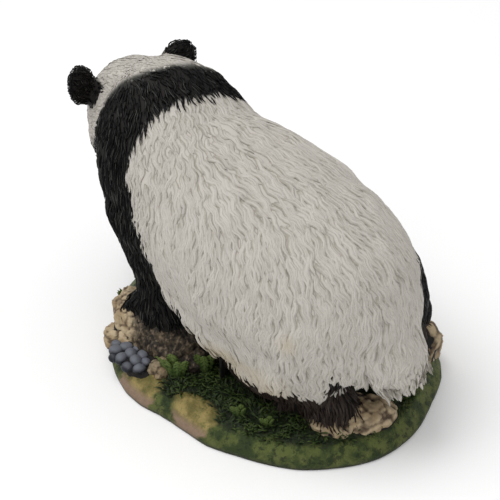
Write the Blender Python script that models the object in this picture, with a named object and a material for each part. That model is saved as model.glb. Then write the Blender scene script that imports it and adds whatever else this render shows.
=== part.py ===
"""A hand-painted cast-resin figurine: a giant panda walking over a grassy oval base with rocks.

The whole figurine is one casting. The panda faces -Y, its left side is +X, and Z is up. The origin is
at the middle of the flat underside.
"""

import math

import bmesh
import bpy
import numpy as np
from mathutils import Euler, Matrix, Vector, noise
from mathutils.bvhtree import BVHTree

# Driving sizes, in metres.
FIGURE_LENGTH = 0.224
BASE_LENGTH = 0.174
BASE_WIDTH = 0.137
BASE_HEIGHT = 0.010
RIM_EDGE_HEIGHT = 0.003
RIM_SLOPE_WIDTH = 0.009
GROUND_RELIEF = 0.0015
FUR_RELIEF = 0.0018
FRINGE_LOCKS = 17
FRINGE_LENGTH = 0.014
FRINGE_WIDTH = 0.008
FORM_VOXEL = 0.0020
DETAIL_VOXEL = 0.0012
TRIANGLES_KEPT = 9400

# The figure's proportions are written in 224ths of its length. Heights are above the ground.
UNIT = FIGURE_LENGTH / 224

# Stations of the trunk from the rump to the neck: x, y, z, half width, height above z, depth below z.
TRUNK = (
    (1, 82, 44, 6, 7, 6),
    (2, 77, 45, 19, 20, 15),
    (3, 66, 47, 32, 33, 20),
    (2, 48, 50, 43, 39, 26),
    (3, 28, 54, 47, 42, 34),
    (3.6, 6, 58, 48.4, 44.6, 41),
    (5.2, -16, 63, 44.8, 45, 43),
    (7, -27, 66, 40.6, 43.8, 41.5),
    (7.2, -36, 69, 38.6, 45, 39),
    (5.5, -52, 73, 38, 48, 40),
    (4, -68, 77, 36, 42, 36),
    (0.5, -84, 79, 29.5, 34, 30),
    (-2, -92, 79, 20, 24, 20),
)

# Power that squares off the lower half of the trunk: 1 is an ellipse, less is fuller.
BELLY_FULLNESS = 0.66

# Haunches, knees and shoulders: x, y, z, then the three radii.
BODY_MASSES = (
    (22, 36, 33.5, 22, 32, 24.5),
    (-24, 39, 39, 22.5, 31, 29),
    (27, 28, 20, 15.5, 28, 13.5),
    (-22, 22, 24, 14, 20, 13),
    (24, -45, 64, 21, 25, 36),
    (-16, -44, 61, 22.5, 26, 38),
)

# Stations of each leg from the body down: x, y, z, half width, half length.
LEFT_FRONT_LEG = (
    (30, -47, 62, 18, 23),
    (31.5, -41.5, 45, 14.3, 16.5),
    (32.5, -35.5, 30, 12, 13.5),
    (34, -31, 18, 12, 14),
    (34, -31, 12, 11, 14),
)
RIGHT_FRONT_LEG = (
    (-21, -46, 62, 18, 23),
    (-24, -50, 45, 16, 19),
    (-26, -53, 28, 13.5, 15),
    (-27, -54, 13, 12, 14),
    (-27, -54, 4, 11, 14),
)
LEFT_HIND_LEG = (
    (22, 36, 34, 19, 28),
    (20, 41, 22, 15, 20),
    (17, 50, 14, 12.5, 16),
    (15, 55, 8, 11, 15),
    (15, 55, 2, 10, 14),
)
RIGHT_HIND_LEG = (
    (-26, 40, 36, 20, 26.5),
    (-30, 43, 24, 17, 22.5),
    (-34, 46, 16, 13.5, 17),
    (-37, 48, 10, 11, 15),
    (-37, 48, 4, 11, 14),
)
LEGS = (LEFT_FRONT_LEG, RIGHT_FRONT_LEG, LEFT_HIND_LEG, RIGHT_HIND_LEG)
# Each paw: x, y, z of its middle, and its turn about Z in degrees.
PAWS = ((35, -32, 18, 8), (-28, -57, 8, -8), (16, 51, 6, 12), (-38, 45, 9, -10))
PAW_RADII = (12.5, 15, 7)
TOE_RADIUS = 3.4
CLAW_LENGTH = 4

HEAD_AT = (-3, -92, 80)
HEAD_PITCH = math.radians(12)
HEAD_YAW = math.radians(-10)
# Masses of the head about its own middle: side, forward, up, then the three radii.
HEAD_MASSES = (
    (0, 0, 2, 26, 26, 26),
    (0, 7, 10.5, 20.5, 18, 13.5),
    (13, 4, -8, 13, 15, 13),
    (-13, 4, -8, 13, 15, 13),
    (0, 22, -8, 12.5, 13, 9.5),
    (0, 23, -14, 8.5, 8, 5.5),
)
# Each ear: its side, then the middle of it about the head's own middle.
EARS = ((1, 26.8, 3.2, 20.8), (-1, -25.5, 3, 20))
EAR_RADII = (9, 3.8, 10.5)
NOSE_AT = (0, 33.8, -4.5)
NOSE_RADII = (4.6, 2.6, 3.2)
EYE_AT = (11.0, 22.6, 3)
EYE_RADIUS = 2.5

# Rocks under and beside the paws: x, y, z of the middle, the three radii, a turn about Z in degrees.
ROCKS = (
    (38, -35, 3, 17.5, 25, 16, 15),
    (49.5, -41, -1, 8.5, 12, 9, 20),
    (33, -58, 2, 8, 9, 11, 20),
    (33, -10, 0, 14, 10, 8, 0),
    (52, -15, 0, 7, 5, 5, 30),
    (-27, -56, 0, 19, 20, 7, -10),
    (8, -66, 0, 15, 11, 8, 0),
    (8, 66, 0, 17, 11, 8, -35),
    (20, 62, 0, 9, 10, 6, 0),
    (-44, 51.5, 1, 12.5, 14.5, 14.5, 15),
)
# The base's edge: an angle in degrees from +X, and the share of the oval's reach there.
BASE_OUTLINE = (
    (0, 0.955),
    (5, 0.945),
    (12, 0.950),
    (20, 0.972),
    (31, 0.964),
    (38, 0.972),
    (50, 0.988),
    (62, 0.985),
    (78, 0.993),
    (90, 0.986),
    (110, 0.981),
    (117, 0.988),
    (123, 1.008),
    (130, 1.036),
    (137, 1.050),
    (146, 1.042),
    (160, 1.010),
    (180, 0.995),
    (205, 1.005),
    (230, 0.995),
    (252, 1.005),
    (275, 0.990),
    (288, 0.970),
    (298, 0.945),
    (310, 0.950),
    (322, 0.992),
    (330, 0.991),
    (337, 1.004),
    (346, 1.012),
    (353, 0.995),
    (360, 0.955),
)
# River pebbles beside the front rock: shares of the base's half width and half length, and a radius.
PEBBLES = (
    (0.88, -0.43, 0.0034),
    (0.81, -0.41, 0.0034),
    (0.90, -0.36, 0.0035),
    (0.83, -0.35, 0.0036),
    (0.92, -0.29, 0.0033),
    (0.85, -0.29, 0.0036),
    (0.78, -0.30, 0.0032),
    (0.88, -0.23, 0.0031),
)
# Tufts of broad leaves: the same shares, the number of leaves, their height, the way they lean in degrees.
LEAF_TUFTS = (
    (0.74, -0.08, 5, 0.017, 35),
    (0.56, 0.00, 3, 0.015, 45),
    (0.68, 0.37, 4, 0.010, 50),
    (0.61, 0.52, 4, 0.009, 55),
    (0.49, -0.78, 3, 0.007, -60),
    (-0.73, 0.30, 4, 0.012, 180),
    (-0.70, -0.48, 5, 0.014, 200),
    (0.00, -0.82, 4, 0.010, -90),
)

RESIN_COLOUR = (0.72, 0.70, 0.66, 1.0)


def smooth_rows(rows, count):
    """The stations, read at count even steps along a Catmull-Rom curve through them."""
    rows = np.array(rows, float)
    padded = np.vstack([2 * rows[0] - rows[1], rows, 2 * rows[-1] - rows[-2]])
    place = np.linspace(0, len(rows) - 1, count)
    first = np.minimum(place.astype(int), len(rows) - 2)
    t = (place - first)[:, None]
    a, b, c, d = (padded[first + k] for k in range(4))
    return 0.5 * (2 * b + (c - a) * t + (2 * a - 5 * b + 4 * c - d) * t**2 + (3 * b - a - 3 * c + d) * t**3)


def skin(rings):
    """A closed mesh over rings of points, each ring an array of the same length, with fans on both ends."""
    sides = len(rings[0])
    shape = bmesh.new()
    loops = [[shape.verts.new(point) for point in ring] for ring in rings]
    for lower, upper in zip(loops, loops[1:]):
        for k in range(sides):
            n = (k + 1) % sides
            shape.faces.new((lower[k], lower[n], upper[n], upper[k]))
    for end in (0, -1):
        middle = shape.verts.new(Vector(np.mean(rings[end], axis=0)))
        for k in range(sides):
            shape.faces.new((loops[end][k], loops[end][(k + 1) % sides], middle))
    bmesh.ops.recalc_face_normals(shape, faces=shape.faces)
    return as_mesh(shape)


def as_mesh(shape):
    """The bmesh as mesh data."""
    mesh = bpy.data.meshes.new("shape")
    shape.to_mesh(mesh)
    shape.free()
    return mesh


def place(x, y, z):
    """A point of the figure, in metres above the underside of the base."""
    return Vector((x * UNIT, y * UNIT, BASE_HEIGHT + z * UNIT))


def ball(matrix):
    """A unit ball carried by the matrix."""
    shape = bmesh.new()
    bmesh.ops.create_uvsphere(shape, u_segments=24, v_segments=16, radius=1, matrix=matrix)
    return as_mesh(shape)


def ellipsoid(x, y, z, rx, ry, rz, turn=0.0):
    """An upright ellipsoid of the figure, turned about Z by a number of degrees."""
    radii = Matrix.Diagonal((rx * UNIT, ry * UNIT, rz * UNIT, 1))
    return ball(Matrix.Translation(place(x, y, z)) @ Matrix.Rotation(math.radians(turn), 4, "Z") @ radii)


def in_head(side, forward, up):
    """A point of the head, given about the head's middle along its own axes."""
    turn = Euler((HEAD_PITCH, 0, HEAD_YAW)).to_matrix()
    return place(*HEAD_AT) + turn @ Vector((side, -forward, up)) * UNIT


def head_ellipsoid(side, forward, up, rx, ry, rz, tilt=(0, 0, 0)):
    """An ellipsoid set in the head's own axes."""
    turn = Euler((HEAD_PITCH, 0, HEAD_YAW)).to_matrix() @ Euler(tilt).to_matrix()
    radii = Matrix.Diagonal((rx * UNIT, ry * UNIT, rz * UNIT, 1))
    return ball(Matrix.Translation(in_head(side, forward, up)) @ turn.to_4x4() @ radii)


def trunk():
    """The body from rump to neck: upright ovals, round above and fuller towards the belly."""
    angle = np.linspace(0, 2 * np.pi, 48, endpoint=False)
    fullness = np.where(np.sin(angle) > 0, 1.0, BELLY_FULLNESS)
    across = np.sign(np.cos(angle)) * np.abs(np.cos(angle)) ** fullness
    rings = []
    for x, y, z, half_width, above, below in smooth_rows(TRUNK, 44):
        rise = np.where(np.sin(angle) > 0, above, below) * np.sin(angle)
        rings.append(np.stack([x + half_width * across, np.full_like(angle, y), z + rise], 1))
    return skin([np.array([place(*point) for point in ring]) for ring in rings])


def leg(stations):
    """A leg: level ellipses on a curve from the body down into the paw."""
    angle = np.linspace(0, 2 * np.pi, 24, endpoint=False)
    rings = []
    for x, y, z, half_width, half_length in smooth_rows(stations, 14):
        edge = zip(x + half_width * np.cos(angle), y + half_length * np.sin(angle))
        rings.append(np.array([place(edge_x, edge_y, z) for edge_x, edge_y in edge]))
    return skin(rings)


def lock(path, width, thickness, facing=(0, 0, 1)):
    """A lock of hair on a curved path: flattened across the facing, it swells and runs to a point."""
    middles = smooth_rows(path, 7)
    along = np.gradient(middles, axis=0)
    side = np.cross(along, facing)
    side /= np.linalg.norm(side, axis=1)[:, None]
    out = np.cross(side, along)
    out /= np.linalg.norm(out, axis=1)[:, None]
    angle = np.linspace(0, 2 * np.pi, 8, endpoint=False)[:, None]
    rings = []
    for k, middle in enumerate(middles):
        swell = math.sin(math.pi * (0.28 + 0.72 * k / 6)) ** 0.8 + 0.02 if k < 6 else 0.02
        ring = side[k] * width * np.cos(angle) + out[k] * thickness * np.sin(angle)
        rings.append(middle + swell * ring / 2)
    return skin(rings)


def tail():
    """The short tail: a broad fan of locks hanging from the rump."""
    locks = [ellipsoid(1, 75, 40, 12, 9, 16)]
    for k in range(11):
        spread = (k - 5) / 5
        root = place(1 + 7 * spread, 72, 55 - 4 * abs(spread))
        belly = place(1 + 12 * spread, 84 - 4 * abs(spread), 42 - 3 * abs(spread))
        tip = place(1 + 16 * spread, 92 - 8 * abs(spread) ** 1.6, 25.5 + 5 * abs(spread) ** 3)
        locks.append(lock((root, belly, tip), (9 + 2 * (k % 2)) * UNIT, 7 * UNIT, (0, 1, 0.6)))
    return locks


def fringe(form):
    """Pointed locks that lie on the skin low on the flanks and end over the legs and the belly."""
    skin_below = BVHTree.FromPolygons([v.co for v in form.vertices], [p.vertices[:] for p in form.polygons])
    noise.seed_set(7)
    locks = []
    for side in (1, -1):
        for k in range(FRINGE_LOCKS):
            share = (k + 0.5 * noise.random()) / FRINGE_LOCKS
            height = 36 - 8 * math.sin(math.pi * share) + 4 * noise.random()
            root, normal, _, _ = skin_below.find_nearest(place(side * 60, 94 * share - 22, height))
            path = [root - normal * 0.0006]
            for _ in range(2):
                ahead = path[-1] + Vector((0, 0.75, -1)).normalized() * FRINGE_LENGTH / 2
                near, normal, _, _ = skin_below.find_nearest(ahead)
                path.append(near + normal * 0.0012)
            locks.append(lock(path, FRINGE_WIDTH, FRINGE_WIDTH * 0.5, normal))
    return locks


def paw(x, y, z, turn):
    """A flat paw with five toes and five claws."""
    pieces = [ellipsoid(x, y, z, *PAW_RADII, turn)]
    heading = math.radians(turn)
    for k in range(5):
        spread = (k - 2) / 2
        forward = PAW_RADII[1] * (0.95 - 0.22 * spread**2)
        sideways = PAW_RADII[0] * 0.78 * spread
        toe_x = x + sideways * math.cos(heading) + forward * math.sin(heading)
        toe_y = y + sideways * math.sin(heading) - forward * math.cos(heading)
        pieces.append(ellipsoid(toe_x, toe_y, z - 1.5, TOE_RADIUS, TOE_RADIUS * 1.5, TOE_RADIUS, turn))
        claw_tip = place(toe_x, toe_y - TOE_RADIUS - CLAW_LENGTH, z - 5)
        claw_root = place(toe_x, toe_y - TOE_RADIUS * 0.5, z - 2)
        pieces.append(lock((claw_root, claw_tip), 3.2 * UNIT, 3.2 * UNIT))
    return pieces


def ears_and_face():
    """Two round ears, the nose and the two eyes."""
    pieces = []
    eye_radii = (EYE_RADIUS, EYE_RADIUS, EYE_RADIUS)
    for side, *middle in EARS:
        tilt = (math.radians(-8), math.radians(26 * side), math.radians(24 * side))
        pieces.append(head_ellipsoid(*middle, *EAR_RADII, tilt))
        pieces.append(head_ellipsoid(side * EYE_AT[0], EYE_AT[1], EYE_AT[2], *eye_radii))
    pieces.append(head_ellipsoid(*NOSE_AT, *NOSE_RADII))
    return pieces


def ground():
    """The oval base: a flat underside, an upright edge, a sloping rim and softly uneven ground."""
    half_x, half_y = BASE_WIDTH / 2, BASE_LENGTH / 2
    angle = np.linspace(0, 2 * np.pi, 72, endpoint=False)
    turns, shares = np.array(BASE_OUTLINE).T
    share = np.interp(angle, np.radians(turns), shares)
    outline = np.stack([half_x * share * np.cos(angle), half_y * share * np.sin(angle)], 1)
    slope = RIM_SLOPE_WIDTH / half_x
    shoulder = RIM_EDGE_HEIGHT + 0.7 * (BASE_HEIGHT - RIM_EDGE_HEIGHT)
    steps = [(0.5, 0), (1, 0), (1, RIM_EDGE_HEIGHT), (1 - 0.45 * slope, shoulder)]
    steps += [(share * (1 - slope), BASE_HEIGHT) for share in (1, 0.85, 0.7, 0.5, 0.3, 0.12)]
    rings = []
    for share, height in steps:
        ring = np.column_stack([outline * share, np.full(len(angle), height)])
        if height >= BASE_HEIGHT:
            ring[:, 2] += [GROUND_RELIEF * noise.noise(Vector(point) / (12 * UNIT)) for point in ring]
        rings.append(ring)
    return skin(rings)


def rock(x, y, z, rx, ry, rz, turn):
    """A weathered rock: a ball cut by flat planes at random turns, then pitted by noise."""
    noise.seed_set(int(100 + x + 3 * y))
    planes = [(noise.random_unit_vector(), 0.80 + 0.22 * noise.random()) for _ in range(18)]
    planes.append((Vector((0, 0, 1)), 0.84))
    shape = bmesh.new()
    bmesh.ops.create_icosphere(shape, subdivisions=4, radius=1)
    for vert in shape.verts:
        reach = min([depth / max(0.3, facing.dot(vert.co)) for facing, depth in planes] + [1.08])
        vert.co *= reach + 0.05 * noise.noise(vert.co * 3.1 + Vector((x, y, rx)))
    radii = Matrix.Diagonal((rx * UNIT, ry * UNIT, rz * UNIT, 1))
    turned = Matrix.Rotation(math.radians(turn), 4, "Z")
    shape.transform(Matrix.Translation(place(x, y, z)) @ turned @ radii)
    return as_mesh(shape)


def on_base(across, along, height):
    """A point above the ground, given by shares of the base's half width and half length."""
    return Vector((across * BASE_WIDTH / 2, along * BASE_LENGTH / 2, BASE_HEIGHT + height))


def pebble(across, along, radius):
    """A flattened river pebble, half sunk in the ground."""
    turn = Matrix.Rotation(9000 * radius, 4, "Z")
    radii = Matrix.Diagonal((radius, radius * 0.85, radius * 0.7, 1))
    return ball(Matrix.Translation(on_base(across, along, 0.3 * radius)) @ turn @ radii)


def leaf_tuft(across, along, leaves, height, lean):
    """A tuft of broad pointed leaves that rise from one root and spread."""
    root = on_base(across, along, -0.002)
    blades = []
    for k in range(leaves):
        heading = math.radians(lean) + (k - (leaves - 1) / 2) * 0.75
        outward = Vector((math.cos(heading), math.sin(heading), 0)) * height * (0.45 + 0.12 * (k % 2))
        rise = Vector((0, 0, 0.002 + height * (1 - 0.16 * (k % 3))))
        path = (root, root + 0.4 * outward + 0.65 * rise, root + outward + rise)
        blades.append(lock(path, height * 0.42, 0.0026, (math.cos(heading), math.sin(heading), 0.2)))
    return blades


def fused(name, pieces, voxel, smoothing):
    """One closed skin over all the pieces, as clay pressed together, then rubbed smooth."""
    joined = bmesh.new()
    for piece in pieces:
        joined.from_mesh(piece)
    form = bpy.data.objects.new(name, as_mesh(joined))
    bpy.context.scene.collection.objects.link(form)
    remesh = form.modifiers.new("One skin", "REMESH")
    remesh.mode = "VOXEL"
    remesh.voxel_size = voxel
    rub = form.modifiers.new("Rubbed smooth", "SMOOTH")
    rub.factor = 0.5
    rub.iterations = smoothing
    mesh = bpy.data.meshes.new_from_object(form.evaluated_get(bpy.context.evaluated_depsgraph_get()))
    bpy.data.objects.remove(form)
    return mesh


def fur_height(point):
    """Broad combed clumps that run from neck to tail and turn down over the flanks, from 0 to 1."""
    around = math.atan2(point.x, point.z - 0.35 * FIGURE_LENGTH)
    across = (around * 48 - 0.45 * abs(around) * point.y / UNIT * 0.4) / 9
    along = point.y / (24 * UNIT)
    wave = noise.noise(Vector((across * 0.6, along * 2.2, 3.0)))
    return abs(noise.noise(Vector((across + 0.6 * wave, along, 0.0)))) * 2


def carve_fur(mesh):
    """Moves each point of the skin in or out along its normal by the height of the fur."""
    ankles = 16 * UNIT + BASE_HEIGHT
    face = place(*HEAD_AT)
    for vert in mesh.vertices:
        rise = min(1, max(0, (vert.co.z - ankles) / (10 * UNIT)))
        if vert.co.y < face.y - 8 * UNIT:
            rise *= 0.25
        vert.co += vert.normal * FUR_RELIEF * rise * (fur_height(vert.co) - 0.4)
    return mesh


def panda():
    """The animal's body, head and legs as one smooth form with its combed coat."""
    masses = [trunk()] + [leg(stations) for stations in LEGS]
    masses += [ellipsoid(*mass) for mass in BODY_MASSES]
    masses += [head_ellipsoid(*mass) for mass in HEAD_MASSES]
    return carve_fur(fused("form", masses, FORM_VOXEL, 10))


def landscape():
    """The base with everything modelled on it."""
    pieces = [ground()] + [rock(*stone) for stone in ROCKS] + [pebble(*stone) for stone in PEBBLES]
    for tuft in LEAF_TUFTS:
        pieces += leaf_tuft(*tuft)
    return pieces


def cut_flat_below(mesh):
    """Cuts the casting flat at its underside."""
    shape = bmesh.new()
    shape.from_mesh(mesh)
    floor = 0.00005
    parts = shape.verts[:] + shape.edges[:] + shape.faces[:]
    bmesh.ops.bisect_plane(shape, geom=parts, plane_co=(0, 0, floor), plane_no=(0, 0, -1), clear_outer=True)
    bmesh.ops.holes_fill(shape, edges=[edge for edge in shape.edges if edge.is_boundary])
    for vert in shape.verts:
        vert.co.z = max(0.0, vert.co.z - floor)
    bmesh.ops.triangulate(shape, faces=shape.faces)
    return as_mesh(shape)


def resin():
    """The paint's mean colour, on matt resin."""
    material = bpy.data.materials.new("painted_resin")
    material.use_nodes = True
    shader = material.node_tree.nodes["Principled BSDF"]
    shader.inputs["Base Color"].default_value = RESIN_COLOUR
    shader.inputs["Roughness"].default_value = 0.6
    return material


def main():
    """Clears the scene, fuses every piece into one casting and thins its faces."""
    for old in list(bpy.data.objects):
        bpy.data.objects.remove(old)
    animal = panda()
    pieces = [animal] + tail() + fringe(animal) + ears_and_face() + landscape()
    for middle in PAWS:
        pieces += paw(*middle)
    casting = fused("casting", pieces, DETAIL_VOXEL, 1)
    figurine = bpy.data.objects.new("panda_figurine", casting)
    bpy.context.scene.collection.objects.link(figurine)
    thin = figurine.modifiers.new("Fewer faces", "DECIMATE")
    thin.ratio = TRIANGLES_KEPT / sum(len(face.vertices) - 2 for face in casting.polygons)
    thinned = bpy.data.meshes.new_from_object(figurine.evaluated_get(bpy.context.evaluated_depsgraph_get()))
    figurine.modifiers.clear()
    figurine.data = cut_flat_below(thinned)
    figurine.data.materials.append(resin())
    figurine.data.shade_smooth()
    figurine.data.set_sharp_from_angle(angle=math.radians(40))


main()
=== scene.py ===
import math

import bpy
import numpy as np
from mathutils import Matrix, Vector, noise


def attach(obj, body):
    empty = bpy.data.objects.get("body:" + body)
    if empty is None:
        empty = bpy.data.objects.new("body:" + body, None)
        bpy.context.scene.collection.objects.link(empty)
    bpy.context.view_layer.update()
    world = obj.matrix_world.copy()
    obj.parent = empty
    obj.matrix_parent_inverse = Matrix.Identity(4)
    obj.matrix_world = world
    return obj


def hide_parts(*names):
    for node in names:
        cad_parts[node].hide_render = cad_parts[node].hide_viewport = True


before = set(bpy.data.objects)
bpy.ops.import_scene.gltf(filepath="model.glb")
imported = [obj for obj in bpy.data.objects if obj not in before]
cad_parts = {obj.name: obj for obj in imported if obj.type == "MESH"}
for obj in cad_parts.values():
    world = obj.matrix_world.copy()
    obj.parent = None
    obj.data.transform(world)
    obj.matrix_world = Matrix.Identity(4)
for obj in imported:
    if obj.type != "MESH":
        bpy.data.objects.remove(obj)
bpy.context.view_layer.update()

# --- Casting: the resin form under the fur ---
# The real figurine is one hollow resin casting, panda, rocks and ground in a piece.
# This is its smooth form, a finely meshed copy of the CAD solid set a little way back,
# so that it shows only as the shaded bottom of the grooves between the locks of fur.

MM = 0.001
SET_BACK = 0.4 * MM
HEAD_AT = np.array([-3, -92, 90]) * MM
HEAD_PITCH, HEAD_YAW = math.radians(12), math.radians(-10)
HEAD_REACH = 42  # millimetres from the head's long axis that still count as head


def turned(pitch, yaw):
    """The matrix that nods by pitch about X and then turns by yaw about Z."""
    nod = [[1, 0, 0], [0, math.cos(pitch), -math.sin(pitch)], [0, math.sin(pitch), math.cos(pitch)]]
    look = [[math.cos(yaw), -math.sin(yaw), 0], [math.sin(yaw), math.cos(yaw), 0], [0, 0, 1]]
    return np.array(look) @ np.array(nod)


HEAD_TURN = turned(HEAD_PITCH, HEAD_YAW)


def on_head(side, forward, up):
    """A place in millimetres to the head's left, forward and up, as a place on the figurine."""
    return HEAD_AT + HEAD_TURN @ (np.array([side, -forward, up]) * MM)


def fields(rows):
    """The three fields of an array of rows as three arrays."""
    return np.moveaxis(rows, -1, 0)


def from_head(points):
    """Each point's millimetres to the head's left, forward and up from its centre."""
    return fields((points - HEAD_AT) @ HEAD_TURN / MM * [1, -1, 1])


def ramp(value, low, high):
    """0 below low, 1 above high and a smooth S between them: t*t*(3-2t)."""
    share = np.clip((value - low) / (high - low), 0, 1)
    return share * share * (3 - 2 * share)


def unit(vectors):
    """Each vector divided by its length."""
    return vectors / np.maximum(np.linalg.norm(vectors, axis=-1, keepdims=True), 1e-12)


def dice(cells, seed):
    """A fixed random number from 0 to 1 for each cell: its three whole indices mixed by large primes."""
    mixed = cells[..., 0] * 73856093 ^ cells[..., 1] * 19349663 ^ cells[..., 2] * 83492791 ^ seed * 40503
    mixed = ((mixed & 0xFFFFFFFF) ^ ((mixed & 0xFFFFFFFF) >> 15)) * 1274126177 & 0xFFFFFFFF
    return (mixed ^ (mixed >> 16)) / 2**32


def grain(points, size, seed=1):
    """Smooth noise from -1 to 1: a random value at each corner of a lattice, its cells of the given size in
    millimetres, blended between the eight corners round a point by t*t*(3-2t)."""
    spot = points / (size * MM)
    corner = np.floor(spot).astype(np.int64)
    share = spot - corner
    share = share * share * (3 - 2 * share)
    total = np.zeros(points.shape[:-1])
    for step in np.ndindex(2, 2, 2):
        weight = np.prod(np.where(step, share, 1 - share), axis=-1)
        total += weight * dice(corner + np.array(step), seed)
    return 2 * total - 1


class Shade:
    """A value or colour running through a paint's nodes. Arithmetic on it adds Math nodes."""

    def __init__(self, paint, socket):
        self.paint, self.socket = paint, socket

    def math(self, operation, first, second):
        return self.paint.node("ShaderNodeMath", {"operation": operation}, {0: first, 1: second})

    def __add__(self, other):
        return self.math("ADD", self, other)

    def __sub__(self, other):
        return self.math("SUBTRACT", self, other)

    def __rsub__(self, other):
        return self.math("SUBTRACT", other, self)

    def __mul__(self, other):
        return self.math("MULTIPLY", self, other)

    __radd__, __rmul__ = __add__, __mul__


class Paint:
    """A painted finish: one matt material, whose other constant sockets are given by name."""

    def __init__(self, name, **sockets):
        self.material = bpy.data.materials.new(name)
        self.material.use_nodes = True
        self.tree = self.material.node_tree
        self.shader = self.tree.nodes["Principled BSDF"]
        self.shader.inputs["Specular IOR Level"].default_value = 0.22
        for label, value in sockets.items():
            self.shader.inputs[label.replace("_", " ")].default_value = value
        self.place = self.node("ShaderNodeTexCoord", output="Object")

    def node(self, kind, settings=(), inputs=(), output=0):
        """Adds a node: its settings first, then a value or link for each socket."""
        made = self.tree.nodes.new(kind)
        for label, value in dict(settings).items():
            setattr(made, label, value)
        for label, value in dict(inputs).items():
            if isinstance(value, Shade):
                self.tree.links.new(value.socket, made.inputs[label])
            else:
                made.inputs[label].default_value = value
        return Shade(self, made.outputs[output])

    def painted(self, label):
        """A number painted on the piece's points."""
        return self.node("ShaderNodeAttribute", {"attribute_name": label}, output="Fac")

    def speckle(self, size, detail=3.0, roughness=0.55, place=None):
        """Noise from 0 to 1 over the piece, with spots of about the given size in millimetres."""
        sockets = {"Vector": place or self.place, "Scale": 1 / (size * MM), "Detail": detail, "Roughness": roughness}
        return self.node("ShaderNodeTexNoise", {}, sockets)

    def mask(self, value, low, high):
        """0 where value is below low, 1 where it is above high, smooth between."""
        sockets = {"Value": value, "From Min": low, "From Max": high}
        return self.node("ShaderNodeMapRange", {"interpolation_type": "SMOOTHSTEP"}, sockets)

    def mix(self, share, first, second):
        """The first colour turning into the second as share goes from 0 to 1."""
        first, second = [c if isinstance(c, Shade) else (*c, 1) for c in (first, second)]
        return self.node("ShaderNodeMix", {"data_type": "RGBA"}, {0: share, 6: first, 7: second}, output=2)

    def finish(self, colour, roughness, relief=None, depth=0.1):
        """Links colour, roughness and the bump of relief, depth being its full height in millimetres."""
        self.tree.links.new(colour.socket, self.shader.inputs["Base Color"])
        if isinstance(roughness, Shade):
            self.tree.links.new(roughness.socket, self.shader.inputs["Roughness"])
        else:
            self.shader.inputs["Roughness"].default_value = roughness
        if relief is not None:
            bump = self.node("ShaderNodeBump", {}, {"Height": relief, "Distance": depth * MM}, "Normal")
            self.tree.links.new(bump.socket, self.shader.inputs["Normal"])
        return self.material


def placed(name, data):
    """A new object that holds data, put in the scene."""
    made = bpy.data.objects.new(name, data)
    bpy.context.scene.collection.objects.link(made)
    return made


def piece(name, points, faces, material, creased=None, **painted):
    """One smooth-shaded piece from an array of points, of any shape, and a list of index arrays, each holding
    faces of one size. Each painted name brings numbers that are spread over the points, and so does creased:
    an edge between two points with the same number above 0 is left sharp."""
    mesh = bpy.data.meshes.new(name)
    sizes = np.concatenate([np.full(len(kind), kind.shape[1]) for kind in faces])
    corners = np.concatenate([kind.ravel() for kind in faces])
    mesh.vertices.add(points.size // 3)
    mesh.vertices.foreach_set("co", points.astype(np.float32).ravel())
    mesh.loops.add(len(corners))
    mesh.loops.foreach_set("vertex_index", corners.astype(np.int32))
    mesh.polygons.add(len(sizes))
    mesh.polygons.foreach_set("loop_start", np.concatenate([[0], np.cumsum(sizes)[:-1]]).astype(np.int32))
    mesh.polygons.foreach_set("use_smooth", np.ones(len(sizes), dtype=bool))
    mesh.update(calc_edges=True)
    if creased is not None:
        ends = np.empty(len(mesh.edges) * 2, dtype=np.int32)
        mesh.edges.foreach_get("vertices", ends)
        first, second = np.broadcast_to(creased, points.shape[:-1]).ravel()[ends.reshape(-1, 2)].T
        sharp = mesh.attributes.new("sharp_edge", "BOOLEAN", "EDGE")
        sharp.data.foreach_set("value", (first == second) & (first > 0))
    for label, values in painted.items():
        layer = mesh.attributes.new(label, "FLOAT", "POINT")
        layer.data.foreach_set("value", np.broadcast_to(values, points.shape[:-1]).astype(np.float32).ravel())
    mesh.materials.append(material)
    made = placed(name, mesh)
    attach(made, "root")
    return made


def columns(mesh_vertices, label):
    """A three-number field of every mesh vertex as an array with one row each."""
    values = np.empty(len(mesh_vertices) * 3, dtype=np.float32)
    mesh_vertices.foreach_get(label, values)
    return values.reshape(-1, 3).astype(float)


def fine_copy(node, voxel, rounds):
    """Points, outward directions and faces of a node's mesh, welded, voxel remeshed and smoothed."""
    made = placed("fine copy", bpy.data.objects[node].data.copy())
    weld = made.modifiers.new("weld", "WELD")
    weld.merge_threshold = 1e-6
    remesh = made.modifiers.new("remesh", "REMESH")
    remesh.mode, remesh.voxel_size = "VOXEL", voxel
    relax = made.modifiers.new("relax", "SMOOTH")
    relax.factor, relax.iterations = 0.5, rounds
    mesh = bpy.data.meshes.new_from_object(made.evaluated_get(bpy.context.evaluated_depsgraph_get()))
    points, outward = columns(mesh.vertices, "co"), columns(mesh.vertices, "normal")
    corners = np.empty(len(mesh.loops), dtype=np.int32)
    mesh.loops.foreach_get("vertex_index", corners)
    bpy.data.objects.remove(made)
    return points, outward, corners.reshape(-1, 4)


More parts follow.
